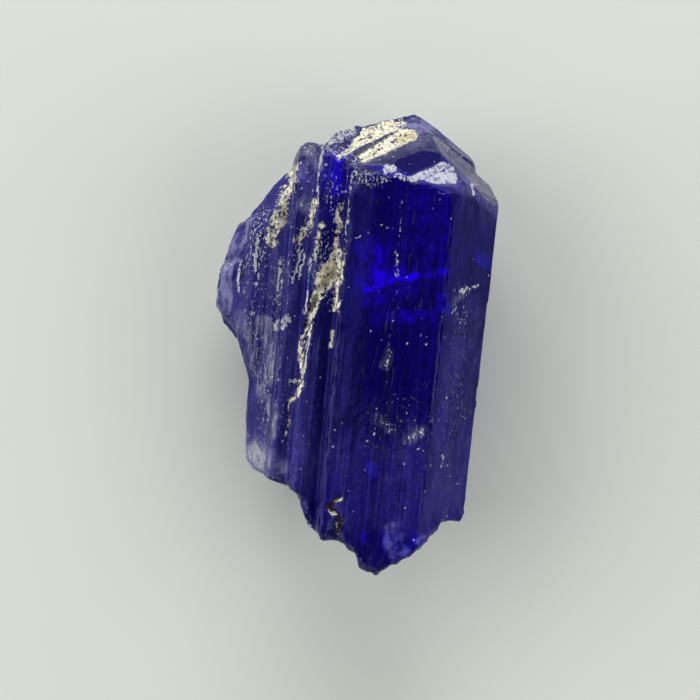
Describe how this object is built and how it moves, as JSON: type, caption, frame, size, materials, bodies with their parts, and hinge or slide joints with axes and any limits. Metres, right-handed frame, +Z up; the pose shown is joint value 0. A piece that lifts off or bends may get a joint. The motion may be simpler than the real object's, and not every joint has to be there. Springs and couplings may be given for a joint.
{
  "type": "rough tanzanite crystal",
  "caption": "Rough tanzanite: a parallel growth of striated blue-violet blades with stepped dome faces at one end and a hackly break at the other, lying on a flat cleavage face.",
  "frame": {"origin": "under the middle of the crystal, on the surface that it lies on", "axes": "+Y along the long axis to the terminated end, +Z up from the cleavage face that it lies on, +X to the thick main blade's side"},
  "size_m": [0.013, 0.022, 0.0083],
  "materials": {
    "tanzanite": "natural crystal, glossy faces with frosted striations and cream residue"
  },
  "bodies": {
    "root": {"tanzanite_crystal": "tanzanite"}
  },
  "joints": []
}
